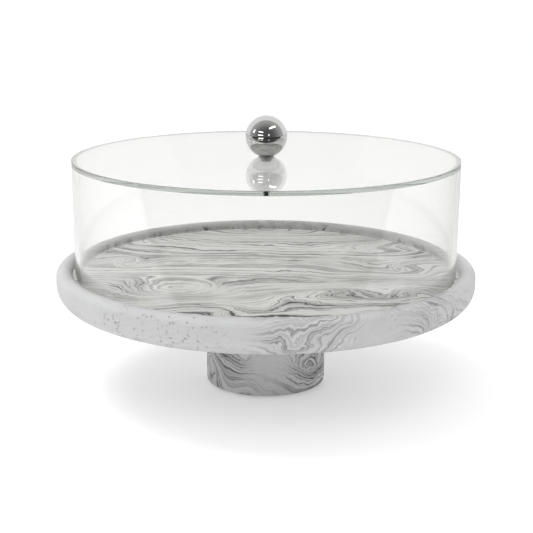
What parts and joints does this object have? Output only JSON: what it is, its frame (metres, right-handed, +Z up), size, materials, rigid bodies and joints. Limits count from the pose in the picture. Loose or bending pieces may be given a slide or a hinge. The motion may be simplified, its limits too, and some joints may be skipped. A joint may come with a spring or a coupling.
{
  "type": "cake stand dome",
  "caption": "Round marbled stone cake stand on a short round foot, with a clear flat-topped cover that lifts off by a polished ball knob.",
  "frame": {"origin": "centre of the surface that the stand rests on, under the foot pads", "axes": "+Z up along the axis of plate, foot, cover and knob; -Y is the side the builder calls front, and the object is round about Z"},
  "size_m": [0.305, 0.305, 0.1983],
  "materials": {
    "marble": "satin",
    "clear_acrylic": "polished",
    "polished_steel": "polished",
    "zinc_steel": "satin",
    "brass": "satin",
    "grey_rubber": "matte",
    "nylon": "satin"
  },
  "bodies": {
    "stand": {"plate": "marble", "plate_insert": "brass", "foot": "marble", "foot_gasket": "grey_rubber", "foot_washer": "zinc_steel", "foot_bolt": "zinc_steel", "foot_pad_1": "grey_rubber", "foot_pad_2": "grey_rubber", "foot_pad_3": "grey_rubber", "foot_pad_4": "grey_rubber"},
    "cover": {"cover_wall": "clear_acrylic", "cover_top": "clear_acrylic", "knob_ball": "polished_steel", "knob_washer": "nylon", "knob_screw": "zinc_steel"}
  },
  "joints": [
    {"name": "cover_lift", "type": "slide", "parent": "stand", "child": "cover", "axis": [0, 0, 1], "range_m": [0, 0.15]}
  ]
}
